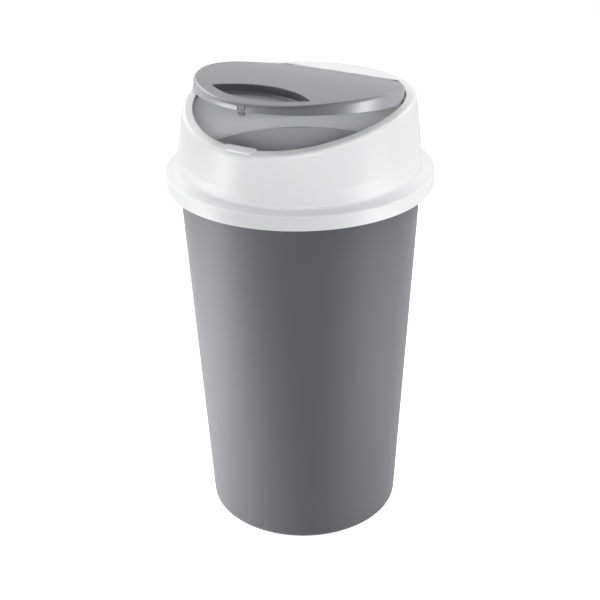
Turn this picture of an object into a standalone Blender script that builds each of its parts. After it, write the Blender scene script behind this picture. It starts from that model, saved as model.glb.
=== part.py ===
"""Press-lid waste bin of about 45 litres: a tapered bucket, a lid ring with a curved top,
a sprung flap on a rod, and a release tab with its latch. Metres, +Z up, front at -Y,
origin at the centre of the foot. The flap stands part open."""

import bmesh
import bpy
import math
from mathutils import Matrix, Vector

# Counts, angles and shares
circle_steps = 72
corner_steps = 4
edge_steps = 2
small_steps = 16
points_per_turn = 10
flap_open = math.radians(13)
round_profile_share = 0.5
arc_end_share = 0.3
boss_sink_share = 0.75
snap_share = 0.001

# Bucket
bucket_height = 0.5432
mouth_radius = 0.1720
foot_inset = 0.0300
foot_radius = mouth_radius - foot_inset
bucket_wall = 0.0024
foot_corner = 0.0110
foot_ring_width = 0.0180
foot_step_width = 0.0030
foot_rise = 0.0030
bucket_blend = 0.0020
bucket_edge = 0.0009
rim_drop = 0.0130

# Lid ring: its heights are set from the bucket's mouth, its radii from the bucket's mouth inwards
lid_rise = 0.1070
lid_height = bucket_height + lid_rise
lid_wall = 0.0022
rim_reach = 0.0180
band_radius = mouth_radius + rim_reach
band_wall = 0.0024
band_drop = 0.0182
band_bottom = bucket_height - band_drop
band_rise = 0.0021
band_top = bucket_height + band_rise
band_round = 0.0018
ledge_rise = 0.0050
ledge_top = bucket_height + ledge_rise
ledge_fillet = 0.0035
collar_inset = 0.0010
collar_radius = mouth_radius - collar_inset
collar_straight = 0.0313
collar_straight_top = ledge_top + collar_straight
collar_blend = 0.0300
lip_inset = 0.0088
lip_radius = collar_radius - lip_inset
lip_round = 0.0055
lid_edge = 0.0008
lid_fit_gap = 0.0005
seat_gap = 0.0003

# Mouth of the lid, and the flap that fills it
deck_width = 0.0150
mouth_arc_radius = lip_radius - deck_width
mouth_lip_wall = 0.0020
mouth_lip_depth = 0.0090
flap_gap = 0.0022
flap_radius = mouth_arc_radius - flap_gap
hinge_inset = 0.0315
hinge_y = flap_radius - hinge_inset
lip_end_inset = 0.0085
mouth_lip_end = hinge_y - lip_end_inset
cut_over = 0.0200

# Curve of the lid's top, seen from the side: level at the back, then an arc that falls to the front
level_length = 0.0485
crown_start = hinge_y - level_length
crown_radius = 0.6860
bend_start = 0.0038
bend_low = ledge_top + bend_start
bend_end = 0.0102
bend_high = lid_height - bend_end

# Fillets up to this size take fewer steps, and points nearer than the merge distance are one
fine_round = 0.0025
merge_distance = 0.00003

# Hinge
barrel_radius = 0.0055
barrel_gap = 0.0008
rod_radius = 0.0015
rod_gap = 0.0003
rod_end_gap = 0.0005
rod_inset = 0.0020
clip_mouth = 0.0026
pocket_side_inset = 0.0482
pocket_side = mouth_arc_radius - pocket_side_inset
pocket_corner = 0.0030
pocket_width = 0.0145
pocket_inner = pocket_side - pocket_width
pocket_front = 0.0060
pocket_floor = 0.0070
pocket_wall = 0.0015
boss_width = 0.0060
boss_outer = pocket_side + boss_width
rod_length = 2 * (boss_outer - rod_inset)
spring_room = 0.0115
barrel_length = 2 * (pocket_inner - spring_room)

# Flap
flap_plate = 0.0020
flap_skirt = 0.0020
flap_corner = 0.0080
flap_overhang = 0.0022
flap_edge = 0.0010
skirt_depth_back = 0.0218
skirt_curve_radius = 1.0970
skirt_end_depth = 0.0090
skirt_fade_length = 0.0280
skirt_fade_end = hinge_y - barrel_radius
skirt_fade_start = skirt_fade_end - skirt_fade_length
strip_width = 0.0070

# Finger scoop in the flap
scoop_margin = 0.0182
scoop_outer_radius = flap_radius - scoop_margin
scoop_inner_radius = 0.1120
scoop_length = 0.0553
scoop_back = scoop_outer_radius - scoop_length
scoop_depth_back = 0.0120
scoop_depth_front = 0.0110
scoop_round = 0.0060
scoop_wall = 0.0018

# Springs of the flap
spring_wire = 0.0010
spring_mean_radius = 0.0024
spring_pitch = 0.0015
spring_turns = 6
spring_side_gap = 0.0005
spring_lean = math.radians(20)
spring_front_leg = 0.0140
spring_rear_leg = 0.0110
seat_lug_width = 0.0060
seat_lug_length = 0.0030

# Striker under the front of the flap
striker_width = 0.0090
striker_slot = 0.0015
striker_thickness = 0.0022
striker_inset = 0.0024
striker_drop = 0.0150
striker_nose = 0.0026
striker_nose_height = 0.0034
striker_foot_width = 0.0160
striker_foot_length = 0.0060
striker_foot_thickness = 0.0020
shield_width = 0.0140
shield_thickness = 0.0014
shield_drop = 0.0092
rail_width = 0.0012
rail_height = 0.0035
piece_gap = 0.0003

# Release tab, its lever and its hook
tab_overlap = 0.0002
tab_inner_y = mouth_arc_radius + tab_overlap
tab_length = 0.0116
tab_outer_y = tab_inner_y + tab_length
tab_inner_width = 0.0460
tab_outer_width = 0.0370
tab_thickness = 0.0018
tab_lift = 0.0004
tab_edge = 0.0006
tab_corner = 0.0015
neck_width = 0.0140
neck_thickness = 0.0026
pivot_inset = 0.0034
pivot_y = tab_inner_y + pivot_inset
pivot_drop = 0.03737
hub_radius = 0.0032
hook_width = 0.0080
hook_reach = 0.0076
hook_thickness = 0.0026
lever_foot_length = 0.0078
lever_foot_thickness = 0.0020
lever_foot_rise = 0.0100
slot_gap = 0.0006
tab_travel_room = 0.0034

# Bracket, its pin, spring and screws
ear_gap = 0.0004
ear_wall = 0.0020
bracket_floor = 0.0020
bracket_floor_drop = 0.0068
bracket_back_reach = 0.0107
bracket_front_reach = 0.0040
bracket_back_height = 0.0145
flange_reach = 0.0150
flange_thickness = 0.0020
flange_depth = 0.0065
pin_radius = 0.0010
pin_overhang = 0.0012
tab_spring_wire = 0.0006
tab_spring_radius = 0.0020
tab_spring_turns = 7
tab_spring_offset = 0.0062
screw_offset = 0.0180
screw_inset = 0.0022
screw_y = pivot_y + screw_inset
screw_boss_radius = 0.0034
screw_boss_depth = 0.0075
screw_shank_radius = 0.0013
screw_hole_radius = 0.0016
screw_length = 0.0070
screw_head_radius = 0.0029
screw_head_height = 0.0018


def collection(name):
    group = bpy.data.collections.new(name)
    bpy.context.scene.collection.children.link(group)
    return group


def plastic(name, colour, roughness, metallic=0.0):
    material = bpy.data.materials.new(name)
    material.use_nodes = True
    shader = material.node_tree.nodes["Principled BSDF"]
    shader.inputs["Base Color"].default_value = (*colour, 1.0)
    shader.inputs["Roughness"].default_value = roughness
    shader.inputs["Metallic"].default_value = metallic
    material.diffuse_color = (*colour, 1.0)
    return material


def crown(y):
    """Height of the lid's top at this distance behind the centre."""
    reach = max(crown_start - y, 0)
    return lid_height - (crown_radius - math.sqrt(crown_radius**2 - reach**2))


def bucket_radius(z):
    return foot_radius + (mouth_radius - foot_radius) * z / bucket_height


def skirt_depth(y):
    """How far the flap's skirt hangs below its top: two arcs, and a fade-out beside the hinge."""
    reach = max(crown_start - y, 0)
    low_sag = skirt_curve_radius - math.sqrt(skirt_curve_radius**2 - reach**2)
    depth = skirt_depth_back - (lid_height - crown(y) - low_sag)
    fade = min(max((y - skirt_fade_start) / (skirt_fade_end - skirt_fade_start), 0), 1)
    return depth + (skirt_end_depth - depth) * fade


def link(name, mesh, group, material=None):
    obj = bpy.data.objects.new(name, mesh)
    group.objects.link(obj)
    if material:
        mesh.materials.append(material)
    if group is cutters:
        obj.hide_render = True
        obj.display_type = "WIRE"
    return obj


def bake(obj):
    """Replaces the object's mesh by what its modifiers make of it."""
    bpy.context.view_layer.update()
    graph = bpy.context.evaluated_depsgraph_get()
    mesh = bpy.data.meshes.new_from_object(obj.evaluated_get(graph))
    bm = bmesh.new()
    bm.from_mesh(mesh)
    bmesh.ops.remove_doubles(bm, verts=bm.verts, dist=merge_distance)
    bm.to_mesh(mesh)
    bm.free()
    old = obj.data
    obj.modifiers.clear()
    obj.data = mesh
    if old.users == 0:
        bpy.data.meshes.remove(old)


def combine(obj, tools, operation):
    for tool in tools:
        boolean = obj.modifiers.new(tool.name, "BOOLEAN")
        boolean.operation = operation
        boolean.solver = "EXACT"
        boolean.object = tool
    bake(obj)


def mesh_from(bm, name):
    bmesh.ops.recalc_face_normals(bm, faces=bm.faces)
    mesh = bpy.data.meshes.new(name)
    bm.to_mesh(mesh)
    bm.free()
    return mesh


def prism(name, outline, low, high, group, material=None):
    """A flat outline, given as (x, y) points, drawn up from low to high."""
    bm = bmesh.new()
    face = bm.faces.new([bm.verts.new((x, y, low)) for x, y in outline])
    made = bmesh.ops.extrude_face_region(bm, geom=[face])
    top = [item for item in made["geom"] if isinstance(item, bmesh.types.BMVert)]
    bmesh.ops.translate(bm, verts=top, vec=(0, 0, high - low))
    return link(name, mesh_from(bm, name), group, material)


def block(name, low, high, group, material=None):
    """A box between two corners."""
    bm = bmesh.new()
    bmesh.ops.create_cube(bm, size=1)
    size = [b - a for a, b in zip(low, high)]
    middle = [(a + b) / 2 for a, b in zip(low, high)]
    bmesh.ops.scale(bm, vec=size, verts=bm.verts)
    bmesh.ops.translate(bm, vec=middle, verts=bm.verts)
    return link(name, mesh_from(bm, name), group, material)


def rod(name, centre, radius, length, axis, steps, group, material=None):
    """A round bar centred on a point, along X, Y or Z."""
    bm = bmesh.new()
    bmesh.ops.create_cone(
        bm, cap_ends=True, segments=steps, radius1=radius, radius2=radius, depth=length
    )
    turn = {"X": Matrix.Rotation(math.pi / 2, 3, "Y"), "Y": Matrix.Rotation(math.pi / 2, 3, "X")}
    bmesh.ops.rotate(bm, cent=(0, 0, 0), matrix=turn.get(axis, Matrix.Identity(3)), verts=bm.verts)
    bmesh.ops.translate(bm, vec=centre, verts=bm.verts)
    return link(name, mesh_from(bm, name), group, material)


def rounded(corners):
    """Points of a profile: each corner is (r, z, fillet), and a fillet becomes an arc."""
    points = []
    for index, (r, z, fillet) in enumerate(corners):
        here = Vector((r, z))
        if not fillet or index in (0, len(corners) - 1):
            points.append(here)
            continue
        before = Vector(corners[index - 1][:2]) - here
        after = Vector(corners[index + 1][:2]) - here
        turn = before.angle(after)
        cut = fillet / math.tan(turn / 2)
        middle = here + (before.normalized() + after.normalized()).normalized() * fillet / math.sin(
            turn / 2
        )
        start = here + before.normalized() * cut - middle
        end = here + after.normalized() * cut - middle
        sweep = start.angle_signed(end)
        steps = corner_steps if fillet > fine_round else edge_steps
        for step in range(steps + 1):
            angle = -sweep * step / steps
            points.append(middle + Matrix.Rotation(angle, 2) @ start)
    return points


def turned(name, corners, group, material=None):
    """A body turned about Z from a profile that runs down its outer side."""
    mesh = bpy.data.meshes.new(name)
    points = rounded(corners)
    edges = [(index, index + 1) for index in range(len(points) - 1)]
    mesh.from_pydata([(point.x, 0, point.y) for point in points], edges, [])
    obj = link(name, mesh, group, material)
    screw = obj.modifiers.new("turn", "SCREW")
    screw.steps = screw.render_steps = circle_steps
    screw.use_merge_vertices = True
    screw.merge_threshold = merge_distance
    screw.use_normal_calculate = False
    bake(obj)
    return obj


def arc_points(radius, end_angle):
    """Points of a circle round the front, from one side to the other, between two equal end angles."""
    step_angle = 2 * math.pi / circle_steps
    first = math.ceil((math.pi - end_angle) / step_angle + arc_end_share)
    last = math.floor((2 * math.pi + end_angle) / step_angle - arc_end_share)
    return [
        (radius * math.cos(index * step_angle), radius * math.sin(index * step_angle))
        for index in range(first, last + 1)
    ]


def corner_points(centre_x, centre_y, radius, start):
    """Points of a rounded corner at the right, from an angle to straight back."""
    points = []
    for step in range(corner_steps + 1):
        angle = start + (math.pi / 2 - start) * step / corner_steps
        points.append((centre_x + radius * math.cos(angle), centre_y + radius * math.sin(angle)))
    return points


def flap_outline():
    """A circle cut off by a chord at the back, with rounded corners, anticlockwise."""
    centre_y = hinge_y + flap_overhang - flap_corner
    centre_x = math.sqrt((flap_radius - flap_corner) ** 2 - centre_y**2)
    start = math.atan2(centre_y, centre_x)
    right = corner_points(centre_x, centre_y, flap_corner, start)
    left = [(-x, y) for x, y in reversed(right)]
    return right + left + arc_points(flap_radius, start)


def mouth_outline():
    """The flap's opening: a circle that widens at the back into a hinge pocket on each side."""
    chord_y = hinge_y + barrel_radius + barrel_gap
    side_y = math.sqrt(mouth_arc_radius**2 - pocket_side**2)
    right = [(pocket_side, side_y)]
    right += corner_points(pocket_side - pocket_corner, chord_y - pocket_corner, pocket_corner, 0)
    left = [(-x, y) for x, y in reversed(right)]
    return right + left + arc_points(mouth_arc_radius, math.atan2(side_y, pocket_side))


def bend_to_crown(obj, low, high):
    """Lowers points to follow the lid's curved top: not at all below low, fully above high."""
    for vertex in obj.data.vertices:
        weight = min(max((vertex.co.z - low) / (high - low), 0), 1) if high > low else 1
        vertex.co.z -= weight * (lid_height - crown(vertex.co.y))


def slice_along_y(obj, first, last):
    """Adds edges across the piece at even steps, so that it can follow the curve."""
    bm = bmesh.new()
    bm.from_mesh(obj.data)
    count = round((last - first) / strip_width)
    for index in range(count + 1):
        place = first + (last - first) * index / count
        geometry = bm.verts[:] + bm.edges[:] + bm.faces[:]
        bmesh.ops.bisect_plane(
            bm, geom=geometry, dist=strip_width * snap_share, plane_co=(0, place, 0), plane_no=(0, 1, 0)
        )
    bmesh.ops.remove_doubles(bm, verts=bm.verts, dist=merge_distance)
    bm.to_mesh(obj.data)
    bm.free()


def soften(obj, degrees=35):
    obj.data.shade_smooth()
    obj.data.set_sharp_from_angle(angle=math.radians(degrees))


def helix(mean_radius, pitch, turns, start):
    """Points of a coil along +Z, which starts at this angle."""
    count = round(turns * points_per_turn)
    points = []
    for index in range(count + 1):
        angle = start + 2 * math.pi * index / points_per_turn
        points.append(
            Vector(
                (
                    mean_radius * math.cos(angle),
                    mean_radius * math.sin(angle),
                    pitch * index / points_per_turn,
                )
            )
        )
    return points


def self_gap(points, wire):
    """Least clear distance between parts of one wire that are over half a turn apart."""
    least = None
    for index, point in enumerate(points):
        for other in points[index + points_per_turn // 2 + 1 :]:
            apart = (point - other).length - wire
            least = apart if least is None else min(least, apart)
    return least


def wire(name, points, thickness, group, material):
    """A tube of even thickness through these points, as a closed mesh."""
    curve = bpy.data.curves.new(name, "CURVE")
    curve.dimensions = "3D"
    curve.bevel_depth = thickness / 2
    curve.bevel_resolution = 1
    curve.use_fill_caps = True
    spline = curve.splines.new("POLY")
    spline.points.add(len(points) - 1)
    for point, place in zip(spline.points, points):
        point.co = (*place, 1)
    guide = bpy.data.objects.new(name + "_guide", curve)
    group.objects.link(guide)
    bpy.context.view_layer.update()
    graph = bpy.context.evaluated_depsgraph_get()
    mesh = bpy.data.meshes.new_from_object(guide.evaluated_get(graph))
    bpy.data.objects.remove(guide)
    bm = bmesh.new()
    bm.from_mesh(mesh)
    bmesh.ops.remove_doubles(bm, verts=bm.verts, dist=thickness * snap_share)
    bm.to_mesh(mesh)
    bm.free()
    mesh.name = name
    return link(name, mesh, group, material)


def slab(name, outline, left, right, group, material=None):
    """An outline of (y, z) points drawn along X."""
    bm = bmesh.new()
    face = bm.faces.new([bm.verts.new((left, y, z)) for y, z in outline])
    made = bmesh.ops.extrude_face_region(bm, geom=[face])
    far = [item for item in made["geom"] if isinstance(item, bmesh.types.BMVert)]
    bmesh.ops.translate(bm, verts=far, vec=(right - left, 0, 0))
    return link(name, mesh_from(bm, name), group, material)


def round_level(obj, level, width, segments):
    """Rounds the edges that lie at one height."""
    bm = bmesh.new()
    bm.from_mesh(obj.data)
    slack = width * snap_share
    edges = [edge for edge in bm.edges if all(abs(v.co.z - level) < slack for v in edge.verts)]
    bmesh.ops.bevel(
        bm,
        geom=edges,
        offset=width,
        segments=segments,
        profile=round_profile_share,
        affect="EDGES",
        clamp_overlap=True,
    )
    bm.to_mesh(obj.data)
    bm.free()


def make_bucket():
    inner_foot = bucket_radius(bucket_wall) - bucket_wall
    inner_mouth = mouth_radius - bucket_wall
    step_outer = foot_radius - foot_ring_width
    step_inner = step_outer - foot_step_width
    rim_radius = band_radius - band_wall - lid_fit_gap
    rim_under = bucket_height - bucket_wall
    rim_low = bucket_height - rim_drop
    corners = [
        (0, foot_rise + bucket_wall, 0),
        (step_inner, foot_rise + bucket_wall, bucket_blend),
        (step_outer, bucket_wall, bucket_blend),
        (inner_foot, bucket_wall, foot_corner - bucket_wall),
        (inner_mouth, bucket_height, bucket_edge),
        (rim_radius, bucket_height, bucket_blend),
        (rim_radius, rim_low, bucket_edge),
        (rim_radius - bucket_wall, rim_low, bucket_edge),
        (rim_radius - bucket_wall, rim_under, bucket_edge),
        (bucket_radius(rim_under), rim_under, bucket_blend),
        (foot_radius, 0, foot_corner),
        (step_outer, 0, bucket_blend),
        (step_inner, foot_rise, bucket_blend),
        (0, foot_rise, 0),
    ]
    bucket = turned("bin_body", corners, parts, grey)
    soften(bucket)


def make_lid():
    collar_inner = collar_radius - lid_wall
    lip_inner = lip_radius - lid_wall
    under = bucket_height + seat_gap
    corners = [
        (0, lid_height, 0),
        (lip_radius, lid_height, lip_round),
        (collar_radius, collar_straight_top, collar_blend),
        (collar_radius, ledge_top, ledge_fillet),
        (band_radius - band_round, band_top, 0),
        (band_radius, band_top - band_round, 0),
        (band_radius, band_bottom, lid_edge),
        (band_radius - band_wall, band_bottom, lid_edge),
        (band_radius - band_wall, under, lid_edge),
        (collar_inner, under, lid_edge),
        (collar_inner, collar_straight_top, collar_blend),
        (lip_inner, lid_height - lid_wall, lip_round - lid_wall),
        (0, lid_height - lid_wall, 0),
    ]
    lid = turned("lid_ring", corners, parts, white)

    lip_top = lid_height - lid_wall / 2
    lip_low = lid_height - mouth_lip_depth
    lip_outer = mouth_arc_radius + mouth_lip_wall
    lip_middle = (lip_top + lip_low) / 2
    mouth_lip = rod(
        "mouth_lip", (0, 0, lip_middle), lip_outer, lip_top - lip_low, "Z", circle_steps, cutters
    )
    lip_trim = block(
        "mouth_lip_trim",
        (-band_radius, mouth_lip_end, lip_low - cut_over),
        (band_radius, band_radius, lid_height + cut_over),
        cutters,
    )
    combine(mouth_lip, [lip_trim], "DIFFERENCE")

    hinge_z = lid_height - barrel_radius
    chord_y = hinge_y + barrel_radius + barrel_gap
    lug_low = hinge_z - spring_mean_radius + spring_wire / 2 + piece_gap
    lug_back = hinge_y + spring_rear_leg + spring_wire
    lugs, boxes, hollows = [], [], []
    for side, sign in (("right", 1), ("left", -1)):
        ends = sorted((sign * barrel_length / 2, sign * (barrel_length / 2 + seat_lug_width)))
        lugs.append(
            block(
                "spring_seat_" + side,
                (ends[0], lug_back - seat_lug_length, lug_low),
                (ends[1], lug_back, lip_top),
                cutters,
            )
        )
        ends = sorted((sign * pocket_inner, sign * boss_outer))
        boxes.append(
            block(
                "hinge_pocket_" + side,
                (ends[0], hinge_y - pocket_front, hinge_z - pocket_floor - pocket_wall),
                (ends[1], chord_y + pocket_wall, lip_top),
                cutters,
            )
        )
        ends = sorted((sign * (pocket_inner - pocket_wall), sign * pocket_side))
        hollows.append(
            block(
                "pocket_cut_" + side,
                (ends[0], hinge_y - cut_over, hinge_z - pocket_floor),
                (ends[1], chord_y, lid_height + cut_over),
                cutters,
            )
        )
    combine(lid, [mouth_lip] + lugs, "UNION")
    mouth = prism("mouth_cut", mouth_outline(), bend_low, lid_height + cut_over, cutters)
    combine(lid, [mouth], "DIFFERENCE")
    combine(lid, boxes, "UNION")
    bore = rod(
        "rod_bore",
        (0, hinge_y, hinge_z),
        rod_radius + rod_gap,
        rod_length + 2 * rod_end_gap,
        "X",
        small_steps,
        cutters,
    )
    clip = block(
        "rod_clip_cut",
        (-rod_length / 2, hinge_y - clip_mouth / 2, hinge_z - cut_over),
        (rod_length / 2, hinge_y + clip_mouth / 2, hinge_z),
        cutters,
    )
    combine(lid, hollows + [bore, clip], "DIFFERENCE")
    bend_to_crown(lid, bend_low, bend_high)

    boss_top = crown(-screw_y) - lid_wall * boss_sink_share
    boss_low = crown(-screw_y) - screw_boss_depth
    hole_top = boss_low - piece_gap - flange_thickness + screw_length + piece_gap
    bosses, holes = [], []
    for side, sign in (("right", 1), ("left", -1)):
        place = (sign * screw_offset, -screw_y, (boss_top + boss_low) / 2)
        bosses.append(
            rod(
                "screw_boss_" + side,
                place,
                screw_boss_radius,
                boss_top - boss_low,
                "Z",
                small_steps,
                cutters,
            )
        )
        place = (sign * screw_offset, -screw_y, (hole_top + boss_low - cut_over) / 2)
        holes.append(
            rod(
                "screw_hole_" + side,
                place,
                screw_hole_radius,
                hole_top - boss_low + cut_over,
                "Z",
                small_steps,
                cutters,
            )
        )
    combine(lid, bosses, "UNION")
    slot_half = neck_width / 2 + slot_gap
    slot = block(
        "lever_slot",
        (-slot_half, -pivot_y - neck_thickness / 2 - slot_gap - tab_travel_room, bend_low),
        (slot_half, -pivot_y + neck_thickness / 2 + slot_gap, lid_height),
        cutters,
    )
    hook_way = block(
        "hook_way",
        (-slot_half, -lip_outer - slot_gap, bend_low),
        (slot_half, -mouth_arc_radius + mouth_lip_wall, crown(-lip_outer) - lid_wall - piece_gap),
        cutters,
    )
    combine(lid, holes + [slot, hook_way], "DIFFERENCE")
    soften(lid)


def lens(offset):
    """The scoop's outline: a crescent between two arcs, grown by an offset."""
    outer = scoop_outer_radius + offset
    inner = scoop_inner_radius + offset
    centre_y = -(scoop_back + scoop_inner_radius)
    cross_y = (inner**2 - outer**2 - centre_y**2) / (-2 * centre_y)
    cross_x = math.sqrt(outer**2 - cross_y**2)
    outer_half = math.atan2(cross_x, -cross_y)
    inner_half = math.atan2(cross_x, cross_y - centre_y)
    points = []
    for step in range(small_steps):
        angle = -outer_half + 2 * outer_half * step / small_steps
        points.append((outer * math.sin(angle), -outer * math.cos(angle)))
    for step in range(small_steps):
        angle = inner_half - 2 * inner_half * step / small_steps
        points.append((inner * math.sin(angle), centre_y + inner * math.cos(angle)))
    return points


def scoop_block(name, offset, top):
    """The scoop as a solid: deepest at the back, and round at the bottom."""
    low = lid_height - scoop_depth_back - offset
    solid = prism(name, lens(offset), low, top, cutters)
    round_level(solid, low, scoop_round + offset, corner_steps - 1)
    for vertex in solid.data.vertices:
        across = (-scoop_back - vertex.co.y) / (scoop_outer_radius - scoop_back)
        down = min(max((top - vertex.co.z) / (top - low), 0), 1)
        vertex.co.z += (scoop_depth_back - scoop_depth_front) * across * down
    return solid


def to_hinge(obj, holder, pivot):
    """Puts the piece's origin on the joint's axis and hangs it there."""
    obj.data.transform(Matrix.Translation(-pivot))
    obj.parent = holder


def make_flap(holder, pivot):
    under = lid_height - flap_plate
    low = lid_height - skirt_depth_back - cut_over
    flap = prism("flap", flap_outline(), low, lid_height, parts, grey)
    round_level(flap, lid_height, flap_edge, 2)
    cavity = rod(
        "flap_cavity",
        (0, 0, (under + low - cut_over) / 2),
        flap_radius - flap_skirt,
        under - low + cut_over,
        "Z",
        circle_steps,
        cutters,
    )
    first, last = -band_radius, hinge_y + cut_over
    count = round((last - first) / strip_width)
    curve = []
    for index in range(count + 1):
        y = first + (last - first) * index / count
        curve.append((y, lid_height - skirt_depth(y)))
    below = [(last, low - cut_over), (first, low - cut_over)]
    trim = slab("skirt_trim", curve + below, -band_radius, band_radius, cutters)
    combine(flap, [cavity, trim], "DIFFERENCE")

    bowl = scoop_block("scoop_bowl", scoop_wall, lid_height - flap_plate / 2)
    barrel = rod(
        "flap_barrel",
        (0, hinge_y, pivot.z),
        barrel_radius,
        barrel_length,
        "X",
        2 * small_steps,
        cutters,
    )
    foot_front = -(flap_radius - striker_inset - striker_thickness)
    rails = []
    for side, sign in (("right", 1), ("left", -1)):
        near = striker_foot_width / 2 + piece_gap
        ends = sorted((sign * near, sign * (near + rail_width)))
        rails.append(
            block(
                "striker_rail_" + side,
                (ends[0], foot_front, under - rail_height),
                (ends[1], foot_front + striker_foot_length, lid_height - flap_plate / 2),
                cutters,
            )
        )
    combine(flap, [bowl, barrel] + rails, "UNION")

    scoop = scoop_block("scoop_cut", 0, lid_height + cut_over)
    notch_half = striker_width / 2 + striker_slot
    notch = block(
        "striker_notch",
        (-notch_half, -flap_radius - cut_over, low - cut_over),
        (notch_half, -flap_radius + flap_skirt + striker_inset, under - piece_gap),
        cutters,
    )
    bore = rod(
        "barrel_bore",
        (0, hinge_y, pivot.z),
        rod_radius + rod_gap,
        rod_length,
        "X",
        small_steps,
        cutters,
    )
    combine(flap, [scoop, notch, bore], "DIFFERENCE")
    slice_along_y(flap, -flap_radius, crown_start)
    bend_to_crown(flap, 0, 0)
    soften(flap)
    to_hinge(flap, holder, pivot)


def make_striker(holder, pivot):
    face = -(flap_radius - striker_inset)
    back = face + striker_thickness
    top = crown(face) - flap_plate - piece_gap
    low = crown(-flap_radius) - striker_drop
    catch = low + striker_nose_height
    outline = [
        (back, low),
        (face, low),
        (face - striker_nose, catch - striker_foot_thickness / 2),
        (face - striker_nose, catch),
        (face, catch),
        (face, top),
        (back, top),
    ]
    striker = slab("striker", outline, -striker_width / 2, striker_width / 2, parts, grey)
    foot_top = lid_height - flap_plate - piece_gap
    foot = block(
        "striker_foot",
        (-striker_foot_width / 2, back - striker_thickness / 2, foot_top - striker_foot_thickness),
        (striker_foot_width / 2, back + striker_foot_length - piece_gap, foot_top),
        cutters,
    )
    bend_to_crown(foot, 0, 0)
    shield = block(
        "striker_shield",
        (-shield_width / 2, back - shield_thickness, crown(-flap_radius) - shield_drop),
        (shield_width / 2, back - piece_gap, top - piece_gap),
        cutters,
    )
    combine(striker, [foot, shield], "UNION")
    soften(striker)
    to_hinge(striker, holder, pivot)


def make_hinge_rod():
    bar = rod(
        "hinge_rod",
        (0, hinge_y, lid_height - barrel_radius),
        rod_radius,
        rod_length,
        "X",
        small_steps,
        parts,
        steel,
    )
    soften(bar)


def make_flap_spring(side, sign):
    """A torsion spring on the bare rod beside the barrel: one leg under the flap, one under the deck."""
    start_x = barrel_length / 2 + spring_side_gap + spring_wire / 2
    count = spring_turns * points_per_turn
    total = 2 * math.pi * spring_turns + spring_lean
    coil = []
    for index in range(count + 1):
        angle = -math.pi / 2 - total * index / count
        across = start_x + spring_pitch * spring_turns * index / count
        coil.append(
            Vector(
                (across, spring_mean_radius * math.cos(angle), spring_mean_radius * math.sin(angle))
            )
        )
    rear = coil[0] + Vector((0, spring_rear_leg, 0))
    rise = Vector((0, -math.cos(spring_lean), math.sin(spring_lean)))
    points = [rear] + coil + [coil[-1] + rise * spring_front_leg]
    print(f"flap_spring_{side} least gap to itself {self_gap(coil, spring_wire) * 1000:.2f} mm")
    axis = Vector((0, hinge_y, lid_height - barrel_radius))
    placed = [Vector((sign * point.x, point.y, point.z)) + axis for point in points]
    spring = wire("flap_spring_" + side, placed, spring_wire, parts, steel)
    soften(spring, 60)


def make_release_tab(pivot):
    inner, outer = -tab_inner_y, -tab_outer_y
    outline = [
        (tab_inner_width / 2, inner),
        (-tab_inner_width / 2, inner),
        (-tab_outer_width / 2, outer),
        (tab_outer_width / 2, outer),
    ]
    low = lid_height + tab_lift
    high = low + tab_thickness
    tab = prism("release_tab", outline, low, high, parts, white)
    round_upright(tab, tab_corner)
    round_level(tab, high, tab_edge, 2)
    slice_along_y(tab, outer, inner)
    bend_to_crown(tab, 0, 0)
    neck_top = crown(-pivot_y) + tab_lift + tab_thickness / 2
    neck = block(
        "lever_neck",
        (-neck_width / 2, -pivot_y - neck_thickness / 2, pivot.z),
        (neck_width / 2, -pivot_y + neck_thickness / 2, neck_top),
        cutters,
    )
    hub_width = neck_width + piece_gap
    hub = rod("lever_hub", pivot, hub_radius, hub_width, "X", 2 * small_steps, cutters)
    catch = crown(-flap_radius) - striker_drop + striker_nose_height + piece_gap
    hook = block(
        "lever_hook",
        (-hook_width / 2, -pivot_y, catch),
        (hook_width / 2, -pivot_y + hook_reach, catch + hook_thickness),
        cutters,
    )
    foot_low = pivot.z + lever_foot_rise
    foot = block(
        "lever_foot",
        (-neck_width / 4, -pivot_y - lever_foot_length, foot_low),
        (neck_width / 4, -pivot_y, foot_low + lever_foot_thickness),
        cutters,
    )
    combine(tab, [neck, hub, hook, foot], "UNION")
    hole = rod(
        "lever_hole",
        pivot,
        pin_radius + piece_gap,
        neck_width + cut_over,
        "X",
        small_steps,
        cutters,
    )
    combine(tab, [hole], "DIFFERENCE")
    soften(tab)
    tab.data.transform(Matrix.Translation(-pivot))
    tab.location = pivot


def round_upright(obj, width):
    """Rounds the upright corners of a flat piece."""
    bm = bmesh.new()
    bm.from_mesh(obj.data)
    slack = width * snap_share
    edges = [
        edge for edge in bm.edges if (edge.verts[0].co - edge.verts[1].co).xy.length < slack
    ]
    bmesh.ops.bevel(
        bm, geom=edges, offset=width, segments=corner_steps, profile=round_profile_share, affect="EDGES"
    )
    bm.to_mesh(obj.data)
    bm.free()


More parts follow.
